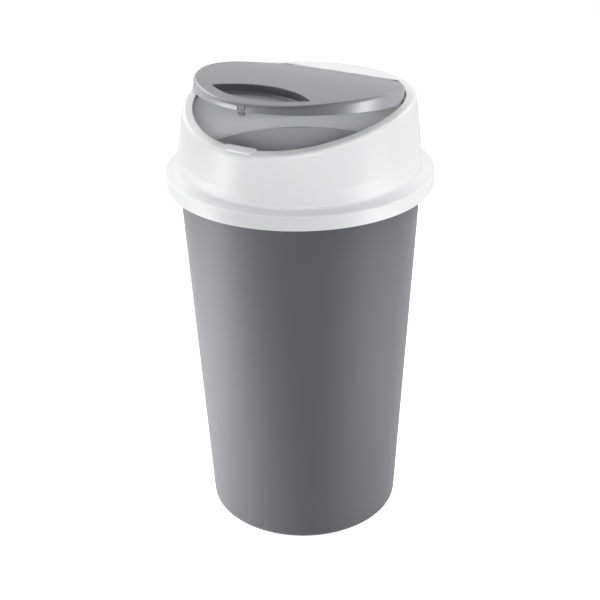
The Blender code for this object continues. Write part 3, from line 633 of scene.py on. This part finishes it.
def makeLidRing(values, material):
    top, wall, edge = values["height"], values["wall"], values["edgeRound"]
    mouth, lipWall = values["mouthRadius"], values["mouthLipWall"]
    lipLow = top - values["mouthLipDepth"]
    profile = roundedLine(
        [
            (mouth, lipLow + edge * 2, 0, 0),
            (mouth, top, values["mouthRound"], 5),
            (values["lipRadius"], top, values["lipRound"], 12),
            (values["collarRadius"], values["collarStraightTop"], values["collarBlend"], 8),
            (values["collarRadius"], values["ledgeTop"], values["ledgeFillet"], 8),
            (values["bandRadius"], values["bandTop"], values["bandRound"], 6),
            (values["bandRadius"], values["bandBottom"], edge, 4),
            (values["bandRadius"] - values["bandWall"], values["bandBottom"], edge, 4),
            (values["bandRadius"] - values["bandWall"], values["bandUnder"], edge, 3),
            (values["collarRadius"] - wall, values["bandUnder"], edge, 3),
            (values["collarRadius"] - wall, values["collarStraightTop"], values["collarBlend"], 8),
            (values["lipRadius"] - wall, top - wall, values["lipRound"] - wall, 8),
            (mouth + lipWall, top - wall, 0, 0),
            (mouth + lipWall, lipLow, edge, 4),
            (mouth, lipLow, edge, 4),
            (mouth, lipLow + edge * 2, 0, 0),
        ]
    )[:-1]
    bm = bmesh.new()
    loop = [bm.verts.new((p.x, 0, p.y)) for p in profile]
    geometry = loop + [bm.edges.new(pair) for pair in zip(loop, loop[1:] + loop[:1])]
    # finer steps round the two corners of the mouth, where the hinge's pockets are
    side = (values["sideDegrees"], values["sideSteps"])
    corner = (values["cornerDegrees"], values["cornerSteps"])
    back = (180 - 2 * (side[0] + corner[0]), values["backSteps"])
    for degrees, steps in (side, corner, back, corner, side, (180, values["frontSteps"])):
        spun = bmesh.ops.spin(
            bm,
            geom=geometry,
            cent=(0, 0, 0),
            axis=(0, 0, 1),
            angle=math.radians(degrees),
            steps=steps,
        )
        geometry = spun["geom_last"]
    bmesh.ops.remove_doubles(bm, verts=bm.verts, dist=meshValues["level"])
    # the deck's inner edge moves to the mouth's outline, the lip under it runs out at the back
    # and the whole top is bent to its curve
    keep = mouth + lipWall
    fixed = values["lipRadius"] - values["lipRound"]
    for vertex in bm.verts:
        x, y, z = vertex.co
        r = math.hypot(x, y)
        grow = mouthEdge(math.atan2(y, x), values) - mouth
        if z > lipLow - wall and r < fixed and grow:
            reach = r + grow * (1 if r <= keep else (fixed - r) / (fixed - keep))
            vertex.co.x, vertex.co.y = x * reach / r, y * reach / r
        shrink = smooth(vertex.co.y, values["lipFadeStart"], values["lipFadeEnd"])
        if r <= keep + edge and z < top - wall + edge and z > lipLow - edge:
            short = top - wall - values["mouthRound"] / 2
            vertex.co.z += shrink * (short - z) * (1 if z < short else 0)
    for vertex in bm.verts:
        weight = (vertex.co.z - values["bendLow"]) / (values["bendHigh"] - values["bendLow"])
        vertex.co.z -= min(max(weight, 0), 1) * (top - crown(vertex.co.y))
    lid = newObject("lidRing", bm, material)

    hinge = Vector((0, values["hingeY"], top - values["hingeDepth"]))
    extras = []
    for sign in (1, -1):
        inner, outer, side = (sign * values[key] for key in ("pocketInner", "bossOuter", "pocketSide"))
        floor, front = hinge.z - values["pocketFloor"], hinge.y - values["pocketFront"]
        box = block(
            "pocket",
            (inner, front, floor - values["pocketWall"]),
            (outer, values["chordY"] + values["pocketWall"], top - wall / 2),
            rounding=values["pocketRound"],
        )
        cut = block(
            "pocketCut",
            (inner - sign * wall, front - wall, floor),
            (side, values["chordY"], top + wall),
        )
        bore = rod("bore", hinge, values["boreRadius"], 2 * values["bossOuter"] + wall)
        half = values["clipMouth"] / 2
        clip = block(
            "clip",
            (inner, hinge.y - half, floor - 2 * wall),
            (outer + sign * wall, hinge.y + half, hinge.z),
        )
        combine(box, [cut, bore, clip], "DIFFERENCE")
        lug = block(
            "lug",
            (sign * values["lugInner"], hinge.y + values["lugFront"], hinge.z - values["lugDrop"]),
            (sign * values["lugOuter"], hinge.y + values["lugBack"], top - wall / 2),
            rounding=values["pocketRound"],
        )
        under = crown(values["screwY"]) - values["screwBossDepth"]
        high = crown(values["screwY"]) - values["screwBossTop"]
        length = high - under
        screw = Vector((sign * values["screwX"], values["screwY"], (under + high) / 2))
        lower = screw - Vector((0, 0, wall))
        boss = rod("boss", screw, values["screwBossRadius"], length, "Z", values["screwBossSteps"])
        hole = rod("hole", lower, values["screwHoleRadius"], length, "Z", values["screwHoleSteps"])
        combine(boss, [hole], "DIFFERENCE")
        extras += [box, lug, boss]
    join(lid, extras)
    half = values["slotHalf"]
    slot = block(
        "slot",
        (-half, values["slotBack"], values["bendLow"]),
        (half, values["slotFront"], top),
    )
    way = block(
        "hookWay",
        (-half, values["hookWayBack"], values["bendLow"]),
        (half, values["hookWayFront"], crown(values["hookWayBack"]) - values["hookWayTop"]),
    )
    combine(lid, [slot, way], "DIFFERENCE")
    finishSurface(lid)
    place(lid, "lid", "lid_ring")


makeLidRing(lidValues, whiteLid)
print("lid ring made")


# flap, with its scoop and the notch for its striker

flapValues = {
    "openDegrees": 13.0,  # as photographed
    "radius": 0.1450,
    "plate": 0.0020,
    "skirt": 0.0020,
    "corner": 0.0080,
    "cornerSteps": 12,
    "edge": 0.0010,
    "frontEdge": 0.0042,  # the round edge is wider at the front than at the hinge
    "edgeFadeStart": 0.0700,
    "edgeFadeEnd": 0.1000,
    "overhang": 0.0022,  # behind the hinge
    "barrelLength": 0.1460,
    "barrelSteps": 64,
    "barrelRound": 0.0005,
    "boreLength": 0.2060,
    "depthBack": 0.0218,  # of the skirt, whose low edge is an arc to the front
    "lowArcRadius": 1.0970,
    "depthEnd": 0.0090,
    "fadeStart": 0.0800,  # the skirt runs out to its end depth between these two places
    "fadeEnd": 0.1080,
    "steps": 240,
    "edgeSteps": 6,
    "edgeSlack": 0.001,  # share of the edge below it that still belongs to it
    "strip": 0.0035,  # width of the strips that bend with the crown
    "over": 0.0200,  # by which the cuts go past the flap
}
scoopValues = {
    "outerRadius": 0.1268,
    "innerRadius": 0.1120,
    "back": 0.0715,  # its back edge in the middle
    "depthBack": 0.0120,
    "depthFront": 0.0110,
    "round": 0.0060,
    "roundSteps": 6,
    "rimRound": 0.0008,
    "rimSteps": 3,
    "rimReach": 0.0400,  # the rim lies in front of a line this far behind the back edge's middle
    "wall": 0.0018,
    "steps": 56,
}
strikerValues = {
    "width": 0.0090,
    "slot": 0.0015,  # free on each side of it in the notch
    "thickness": 0.0022,
    "inset": 0.0024,
    "drop": 0.0150,
    "nose": 0.0026,
    "noseHeight": 0.0034,
    "footWidth": 0.0160,
    "footLength": 0.0057,
    "footThickness": 0.0020,
    "padDrop": 0.0082,  # the pad stands in the notch, flush with the skirt, with a rib on it
    "padRound": 0.0002,
    "ribX": 0.0009,
    "ribWidth": 0.0022,
    "ribHeight": 0.0009,
    "shieldWidth": 0.0140,  # the shield closes the notch from behind
    "shieldThickness": 0.0014,
    "shieldDrop": 0.0092,
    "gap": 0.0003,
    "round": 0.0003,
    "roundSteps": 3,
}


# depth of the skirt below the top
def skirtDepth(y):
    reach = max(lidValues["crownStart"] - y, 0)
    radius = flapValues["lowArcRadius"]
    sag = radius - math.sqrt(radius**2 - reach**2)
    depth = flapValues["depthBack"] - (lidValues["height"] - crown(y) - sag)
    fade = (y - flapValues["fadeStart"]) / (flapValues["fadeEnd"] - flapValues["fadeStart"])
    return depth + (flapValues["depthEnd"] - depth) * min(max(fade, 0), 1)


# the flap from above: a circle cut by a chord, with round corners
def flapOutline(values):
    radius, corner = values["radius"], values["corner"]
    cornerY = lidValues["hingeY"] + values["overhang"] - corner
    cornerX = math.sqrt((radius - corner) ** 2 - cornerY**2)
    start = math.atan2(cornerY, cornerX)
    points = []
    for step in range(values["cornerSteps"] + 1):
        angle = start + (math.pi / 2 - start) * step / values["cornerSteps"]
        points.append((cornerX + corner * math.cos(angle), cornerY + corner * math.sin(angle)))
    points += [(-x, y) for x, y in reversed(points)]
    sweep = math.pi + 2 * start
    for step in range(1, values["steps"]):
        angle = math.pi - start + sweep * step / values["steps"]
        points.append((radius * math.cos(angle), radius * math.sin(angle)))
    return points


# the scoop from above: a pointed oval between two arcs
def lens(values, offset):
    outer, inner = values["outerRadius"] + offset, values["innerRadius"] + offset
    centre = -(values["back"] + values["innerRadius"])
    crossY = (inner**2 - outer**2 - centre**2) / (-2 * centre)
    crossX = math.sqrt(outer**2 - crossY**2)
    outerHalf = math.atan2(crossX, -crossY)
    innerHalf = math.atan2(crossX, crossY - centre)
    points, steps = [], values["steps"]
    for step in range(steps):
        angle = -outerHalf + 2 * outerHalf * step / steps
        points.append((outer * math.sin(angle), -outer * math.cos(angle)))
    for step in range(steps):
        angle = innerHalf - 2 * innerHalf * step / steps
        points.append((inner * math.sin(angle), centre + inner * math.cos(angle)))
    return points


# the scoop as a solid: deep at the back, shallower at the front, round at the bottom
def scoopBlock(name, values, offset, top):
    low = lidValues["height"] - values["depthBack"] - offset
    solid = prism(name, lens(values, offset), low, top)
    roundLevel(solid, low, values["round"] + offset, values["roundSteps"])
    for vertex in solid.data.vertices:
        across = (-values["back"] - vertex.co.y) / (values["outerRadius"] - values["back"])
        down = min(max((top - vertex.co.z) / (top - low), 0), 1)
        vertex.co.z += (values["depthBack"] - values["depthFront"]) * across * down
    return solid


# turns a piece from shut to the photographed place
def openFlap(obj, degrees):
    pivot = Vector((0, lidValues["hingeY"], lidValues["height"] - lidValues["hingeDepth"]))
    turn = Matrix.Rotation(-math.radians(degrees), 4, "X")
    obj.data.transform(Matrix.Translation(pivot) @ turn @ Matrix.Translation(-pivot))


def makeFlap(values, scoop, striker, material):
    top = lidValues["height"]
    under = top - values["plate"]
    low = top - values["depthBack"] - values["over"]
    flap = prism("flapCover", flapOutline(values), low, top, material=material)
    edge = values["edge"]
    roundLevel(flap, top, edge, values["edgeSteps"])
    # the rounding grows to its width at the front
    for vertex in flap.data.vertices:
        rise = (vertex.co.z - top + edge) / edge
        if rise > -values["edgeSlack"]:
            front = 1 - smooth(vertex.co.y, values["edgeFadeStart"], values["edgeFadeEnd"])
            grow = (values["frontEdge"] - edge) * front
            rise = min(max(rise, 0), 1)
            inward = 1 - grow * (1 - math.sqrt(1 - rise**2)) / math.hypot(vertex.co.x, vertex.co.y)
            vertex.co = (vertex.co.x * inward, vertex.co.y * inward, vertex.co.z - grow * (1 - rise))
    cavity = rod(
        "cavity",
        (0, 0, (under + low - values["over"]) / 2),
        values["radius"] - values["skirt"],
        under - low + values["over"],
        "Z",
        values["steps"],
    )
    first, last = -values["radius"] - values["over"], lidValues["hingeY"] + values["over"]
    count = round((last - first) / values["strip"])
    heights = [first + (last - first) * index / count for index in range(count + 1)]
    curve = [(y, top - skirtDepth(y)) for y in heights]
    below = [(last, low - values["over"]), (first, low - values["over"])]
    trim = prism("trim", curve + below, first, -first, "X")
    combine(flap, [cavity, trim], "DIFFERENCE")
    bowl = scoopBlock("bowl", scoop, scoop["wall"], top - values["plate"] / 2)
    hinge = Vector((0, lidValues["hingeY"], top - lidValues["hingeDepth"]))
    barrel = rod(
        "barrel",
        hinge,
        lidValues["hingeDepth"],
        values["barrelLength"],
        steps=values["barrelSteps"],
        rounding=values["barrelRound"],
    )
    combine(flap, [bowl, barrel], "UNION")
    cut = scoopBlock("scoopCut", scoop, 0, top + values["over"])
    half = striker["width"] / 2 + striker["slot"]
    notch = block(
        "notch",
        (-half, first, low - values["over"]),
        (half, -values["radius"] + values["skirt"] + striker["inset"], under - striker["gap"]),
    )
    bore = rod("bore", hinge, lidValues["boreRadius"], values["boreLength"])
    combine(flap, [cut, notch, bore], "DIFFERENCE")
    roundLevel(flap, top, scoop["rimRound"], scoop["rimSteps"], lambda edge: onScoopRim(edge, scoop))
    sliceAlongY(flap, -values["radius"], lidValues["crownStart"], values["strip"])
    bendToCrown(flap)
    openFlap(flap, values["openDegrees"])
    finishSurface(flap)
    place(flap, "flap", "flap")


def onScoopRim(edge, scoop):
    middle = (edge.verts[0].co + edge.verts[1].co) / 2
    inside = middle.xy.length < scoop["outerRadius"] + scoop["rimRound"]
    return inside and middle.y < scoop["rimReach"] - scoop["back"]


makeFlap(flapValues, scoopValues, strikerValues, greyFlap)
print("flap made")


# striker: a foot under the flap and a tongue with a nose, seen through the notch in the skirt


def makeStriker(values, material):
    top, radius = lidValues["height"], flapValues["radius"]
    face = -(radius - values["inset"])
    back = face + values["thickness"]
    high = crown(face) - flapValues["plate"] - values["gap"]
    low = crown(-radius) - values["drop"]
    catch = low + values["noseHeight"]
    half = values["width"] / 2
    outline = [
        (back, low),
        (face, low),
        (face - values["nose"], catch - values["footThickness"] / 2),
        (face - values["nose"], catch),
        (face, catch),
        (face, high),
        (back, high),
    ]
    tongue = prism("striker", outline, -half, half, "X", material)
    bm = bmesh.new()
    bm.from_mesh(tongue.data)
    sharp = [e for e in bm.edges if e.calc_face_angle(0) > meshValues["crease"]]
    bevelEdges(bm, sharp, values["round"], values["roundSteps"])
    bm.to_mesh(tongue.data)
    bm.free()
    footTop = top - flapValues["plate"] - values["gap"]
    foot = block(
        "strikerFoot",
        (-values["footWidth"] / 2, back - values["thickness"] / 2, footTop - values["footThickness"]),
        (values["footWidth"] / 2, back + values["footLength"], footTop),
        rounding=values["round"],
    )
    bendToCrown(foot)
    shieldHalf = values["shieldWidth"] / 2
    shield = block(
        "strikerShield",
        (-shieldHalf, back - values["shieldThickness"], crown(-radius) - values["shieldDrop"]),
        (shieldHalf, back - values["gap"], high - values["gap"]),
    )
    padLow = crown(-radius) - values["padDrop"]
    pad = block(
        "strikerPad",
        (-half, -radius, padLow),
        (half, face + values["thickness"] / 2, high - values["gap"]),
        rounding=values["padRound"],
    )
    ribHalf = values["ribWidth"] / 2
    ribBase, ribX = -radius + values["padRound"], values["ribX"]
    triangle = [
        (ribX - ribHalf, ribBase),
        (ribX, ribBase - values["ribHeight"]),
        (ribX + ribHalf, ribBase),
    ]
    rib = prism("strikerRib", triangle, padLow, high - values["gap"])
    combine(tongue, [foot, shield, pad, rib], "UNION")
    openFlap(tongue, flapValues["openDegrees"])
    finishSurface(tongue)
    place(tongue, "flap", "striker")


makeStriker(strikerValues, greyFlap)
print("striker made")


# release tab: a pad on the lid's front lip, with a lever, a hub and a hook below it

tabValues = {
    "innerWidth": 0.0460,  # at the mouth
    "outerWidth": 0.0370,
    "innerY": 0.1474,
    "outerY": 0.1590,
    "thickness": 0.0032,  # of the pad
    "lift": 0.0004,  # over the lip
    "edge": 0.0006,
    "edgeSteps": 4,
    "corner": 0.0015,
    "cornerSteps": 6,
    "pivotY": 0.1508,
    "pivotZ": 0.5780,
    "neckWidth": 0.0140,
    "neckThickness": 0.0026,
    "hubRadius": 0.0032,
    "hubSteps": 64,
    "holeRadius": 0.0013,
    "hookWidth": 0.0080,
    "hookReach": 0.0076,
    "hookThickness": 0.0026,
    "footLength": 0.0078,  # the foot presses on the spring
    "footRise": 0.0100,
    "footThickness": 0.0020,
    "gap": 0.0003,
}


def makeReleaseTab(values, material):
    pivotY = -values["pivotY"]
    pivot = Vector((0, pivotY, values["pivotZ"]))
    low = lidValues["height"] + values["lift"]
    high = low + values["thickness"]
    inner, outer = values["innerWidth"] / 2, values["outerWidth"] / 2
    outline = [
        (inner, -values["innerY"]),
        (-inner, -values["innerY"]),
        (-outer, -values["outerY"]),
        (outer, -values["outerY"]),
    ]
    tab = prism("releaseTab", outline, low, high, material=material)
    bm = bmesh.new()
    bm.from_mesh(tab.data)
    upright = [e for e in bm.edges if (e.verts[0].co - e.verts[1].co).xy.length < meshValues["level"]]
    bevelEdges(bm, upright, values["corner"], values["cornerSteps"])
    bm.to_mesh(tab.data)
    bm.free()
    roundLevel(tab, high, values["edge"], values["edgeSteps"])
    sliceAlongY(tab, -values["outerY"], -values["innerY"], values["thickness"])
    bendToCrown(tab)
    neckTop = crown(pivotY) + values["lift"] + values["thickness"] / 2
    half, thick = values["neckWidth"] / 2, values["neckThickness"] / 2
    neck = block(
        "neck",
        (-half, pivotY - thick, pivot.z),
        (half, pivotY + thick, neckTop),
    )
    hub = rod(
        "hub",
        pivot,
        values["hubRadius"],
        values["neckWidth"] + values["gap"],
        steps=values["hubSteps"],
        rounding=values["edge"] / 2,
    )
    nose = crown(-flapValues["radius"]) - strikerValues["drop"] + strikerValues["noseHeight"]
    catch = nose + values["gap"]
    hook = block(
        "hook",
        (-values["hookWidth"] / 2, pivotY, catch),
        (values["hookWidth"] / 2, pivotY + values["hookReach"], catch + values["hookThickness"]),
        rounding=values["edge"] / 2,
    )
    footLow = pivot.z + values["footRise"]
    foot = block(
        "leverFoot",
        (-half / 2, pivotY - values["footLength"], footLow),
        (half / 2, pivotY, footLow + values["footThickness"]),
        rounding=values["edge"] / 2,
    )
    combine(tab, [neck, hub, hook, foot], "UNION")
    hole = rod("leverHole", pivot, values["holeRadius"], 2 * values["neckWidth"])
    combine(tab, [hole], "DIFFERENCE")
    finishSurface(tab)
    place(tab, "release_tab", "release_tab")


makeReleaseTab(tabValues, whiteLid)
print("release tab made")


# the solids that are kept as they are: only smooth shading and a finish

dressed = {
    "hinge_rod": ("steel", wireSteel),
    "flap_spring_left": ("steel", wireSteel),
    "flap_spring_right": ("steel", wireSteel),
    "latch_bracket": ("lid_white", whiteLid),
    "latch_pin": ("steel", wireSteel),
    "tab_spring": ("steel", wireSteel),
    "latch_screw_left": ("steel", wireSteel),
    "latch_screw_right": ("steel", wireSteel),
}
for node, (slotName, material) in dressed.items():
    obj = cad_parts[node]
    obj.data.materials.clear()
    obj.data.materials.append(material)
    obj.data.shade_smooth()
    obj.data.set_sharp_from_angle(angle=math.radians(meshValues["keptSharpDegrees"]))
print("kept solids dressed")


# studio: a white floor and sky, the lamps and the camera

studioValues = {
    "azimuth": 30.8,  # of the camera, to the right of the front
    "elevation": 26.59,
    "distance": 1.90,
    "lens": 76.46,
    "sensorWidth": 36,
    "roll": -0.844,
    "aimHeight": 0.3313,
    "aimShift": -0.0027,
    "skyDiffuse": 0.0,  # strength of the sky where it isn't seen or mirrored
    "floorHalf": 6,
    "floorDrop": 0.0004,  # below the foot
    "floorColour": 0.93,
    "floorRoughness": 0.9,
    "floorSpecular": 0.1,
    "floorGlow": 0.99,
}
# a lamp stands this many degrees to the camera's right, seen from the object, at a distance and a
# height, and aims at a height on the axis; some light only a few pieces, or leave a few out
flapPieces, lidPieces = ["flapCover"], ["lidRing", "releaseTab"]
lamps = {
    "mouthBox": {
        "stand": (0, 1.85, 1.24),
        "size": (0.35, 0.3),
        "power": 0.47,
        "aim": 0.62,
        "spread": 25,
        "without": flapPieces,
    },
    "leftFlapBox": {
        "stand": (-75, 1.3, 0.5),
        "size": (0.4, 0.3),
        "power": 1.25,
        "aim": 0.66,
        "spread": 40,
        "only": flapPieces,
    },
    "rightFlapBox": {
        "stand": (70, 1.3, 0.5),
        "size": (0.4, 0.3),
        "power": 0.85,
        "aim": 0.66,
        "spread": 40,
        "only": flapPieces,
    },
    "leftLowBox": {
        "stand": (-80, 0.85, 0.22),
        "size": (0.4, 0.4),
        "power": 2.85,
        "aim": 0.16,
        "spread": 75,
        "without": flapPieces + lidPieces,
    },
    "leftBandBox": {
        "stand": (-80, 0.85, 0.22),
        "size": (0.4, 0.4),
        "power": 1.12,
        "aim": 0.16,
        "spread": 75,
        "only": lidPieces,
    },
    "leftRimBox": {
        "stand": (-100, 0.85, 0.22),
        "size": (0.4, 0.4),
        "power": 0.13,
        "aim": 0.16,
        "spread": 75,
    },
    "rightLowBox": {
        "stand": (60, 0.85, 0.22),
        "size": (0.4, 0.4),
        "power": 1.28,
        "aim": 0.16,
        "spread": 75,
    },
    "rightRimBox": {
        "stand": (80, 0.85, 0.22),
        "size": (0.4, 0.4),
        "power": 0.23,
        "aim": 0.16,
        "spread": 75,
    },
    "leftLidBox": {
        "stand": (-70, 1.3, 0.62),
        "size": (0.4, 0.3),
        "power": 0.29,
        "aim": 0.6,
        "spread": 40,
    },
    "rightLidBox": {
        "stand": (70, 1.3, 0.62),
        "size": (0.4, 0.3),
        "power": 0.13,
        "aim": 0.6,
        "spread": 40,
    },
    "rightEdgeBox": {
        "stand": (110, 1.3, 0.62),
        "size": (0.4, 0.3),
        "power": 0.12,
        "aim": 0.6,
        "spread": 40,
    },
    "rightTopBox": {
        "stand": (60, 0.9, 1.7),
        "size": (0.5, 0.5),
        "power": 0.35,
        "aim": 0.62,
        "spread": 40,
    },
    "backBox": {
        "stand": (180, 1.3, 1.5),
        "size": (1.8, 0.9),
        "power": 5.2,
        "aim": 0.5,
        "spread": 180,
    },
    "leftBackBox": {
        "stand": (-135, 1.3, 1.5),
        "size": (0.9, 0.9),
        "power": 14.3,
        "aim": 0.5,
        "spread": 180,
    },
    "rightBackBox": {
        "stand": (135, 1.3, 1.5),
        "size": (0.9, 0.9),
        "power": 7.7,
        "aim": 0.5,
        "spread": 180,
    },
}


def makeLamp(name, lamp):
    turn, distance, height = lamp["stand"]
    angle = math.radians(studioValues["azimuth"] + turn)
    where = Vector((math.sin(angle) * distance, -math.cos(angle) * distance, height))
    light = bpy.data.lights.new(name, "AREA")
    light.shape = "RECTANGLE"
    light.size, light.size_y = lamp["size"]
    light.energy = lamp["power"]
    light.spread = math.radians(lamp["spread"])
    obj = bpy.data.objects.new(name, light)
    bpy.context.scene.collection.objects.link(obj)
    obj.location = where
    obj.rotation_euler = (Vector((0, 0, lamp["aim"])) - where).to_track_quat("-Z", "Y").to_euler()
    for key, state in (("only", "INCLUDE"), ("without", "EXCLUDE")):
        if key in lamp:
            linkLamp(obj, lamp[key], state)


def linkLamp(obj, names, state):
    group = bpy.data.collections.new(obj.name + "Pieces")
    for name in names:
        group.objects.link(bpy.data.objects[name])
    for entry in group.collection_objects:
        entry.light_linking.link_state = state
    obj.light_linking.receiver_collection = group


def makeFloor(values):
    bm = bmesh.new()
    bmesh.ops.create_grid(bm, x_segments=1, y_segments=1, size=values["floorHalf"])
    bmesh.ops.translate(bm, vec=(0, 0, -values["floorDrop"]), verts=bm.verts)
    floor = newObject("floor", bm)
    material = bpy.data.materials.new("paleFloor")
    material.use_nodes = True
    tree = material.node_tree
    shader = tree.nodes["Principled BSDF"]
    shader.inputs["Base Color"].default_value = (values["floorColour"],) * 3 + (1,)
    shader.inputs["Roughness"].default_value = values["floorRoughness"]
    shader.inputs["Specular IOR Level"].default_value = values["floorSpecular"]
    # glossy and transmission rays find it white; the camera sees a glow with the lamps' light on it
    paths = addNode(tree, "ShaderNodeLightPath")
    glossy, through = paths.outputs["Is Glossy Ray"], paths.outputs["Is Transmission Ray"]
    mirrored = mathNode(tree, "MAXIMUM", glossy, through)
    seen = mathNode(tree, "MULTIPLY", paths.outputs["Is Camera Ray"], values["floorGlow"])
    glow = addNode(tree, "ShaderNodeEmission")
    tree.links.new(seen, glow.inputs["Strength"])
    lit = addNode(tree, "ShaderNodeAddShader")
    tree.links.new(shader.outputs[0], lit.inputs[0])
    tree.links.new(glow.outputs[0], lit.inputs[1])
    white = addNode(tree, "ShaderNodeEmission")
    white.inputs["Strength"].default_value = 1.0
    mix = addNode(tree, "ShaderNodeMixShader")
    tree.links.new(mirrored, mix.inputs[0])
    tree.links.new(lit.outputs[0], mix.inputs[1])
    tree.links.new(white.outputs[0], mix.inputs[2])
    tree.links.new(mix.outputs[0], tree.nodes["Material Output"].inputs["Surface"])
    floor.data.materials.append(material)


def makeWorld(values):
    world = bpy.data.worlds.new("studioSky")
    bpy.context.scene.world = world
    world.use_nodes = True
    tree = world.node_tree
    sky = tree.nodes["Background"]
    sky.inputs["Color"].default_value = (1, 1, 1, 1)
    paths = addNode(tree, "ShaderNodeLightPath")
    seen = mathNode(tree, "MAXIMUM", paths.outputs["Is Camera Ray"], paths.outputs["Is Glossy Ray"])
    seen = mathNode(tree, "MAXIMUM", seen, paths.outputs["Is Transmission Ray"])
    tone = addNode(tree, "ShaderNodeMapRange")
    tone.inputs["To Min"].default_value = values["skyDiffuse"]
    tone.inputs["To Max"].default_value = 1.0
    tree.links.new(seen, tone.inputs["Value"])
    tree.links.new(tone.outputs[0], sky.inputs["Strength"])


def makeCamera(values):
    turn, rise = math.radians(values["azimuth"]), math.radians(values["elevation"])
    back = Vector((math.sin(turn) * math.cos(rise), -math.cos(turn) * math.cos(rise), math.sin(rise)))
    right = Vector((math.cos(turn), math.sin(turn), 0))
    aim = Vector((0, 0, values["aimHeight"])) + right * values["aimShift"]
    camera = bpy.data.cameras.new("camera")
    camera.lens = values["lens"]
    camera.sensor_width = values["sensorWidth"]
    obj = bpy.data.objects.new("camera", camera)
    bpy.context.scene.collection.objects.link(obj)
    obj.location = aim + back * values["distance"]
    roll = Matrix.Rotation(math.radians(values["roll"]), 3, "Z")
    facing = (-back).to_track_quat("-Z", "Y").to_matrix() @ roll
    obj.rotation_euler = facing.to_euler()
    bpy.context.scene.camera = obj


makeFloor(studioValues)
makeWorld(studioValues)
for name, lamp in lamps.items():
    makeLamp(name, lamp)
makeCamera(studioValues)
bpy.context.scene.view_settings.view_transform = "Standard"
print("studio made")
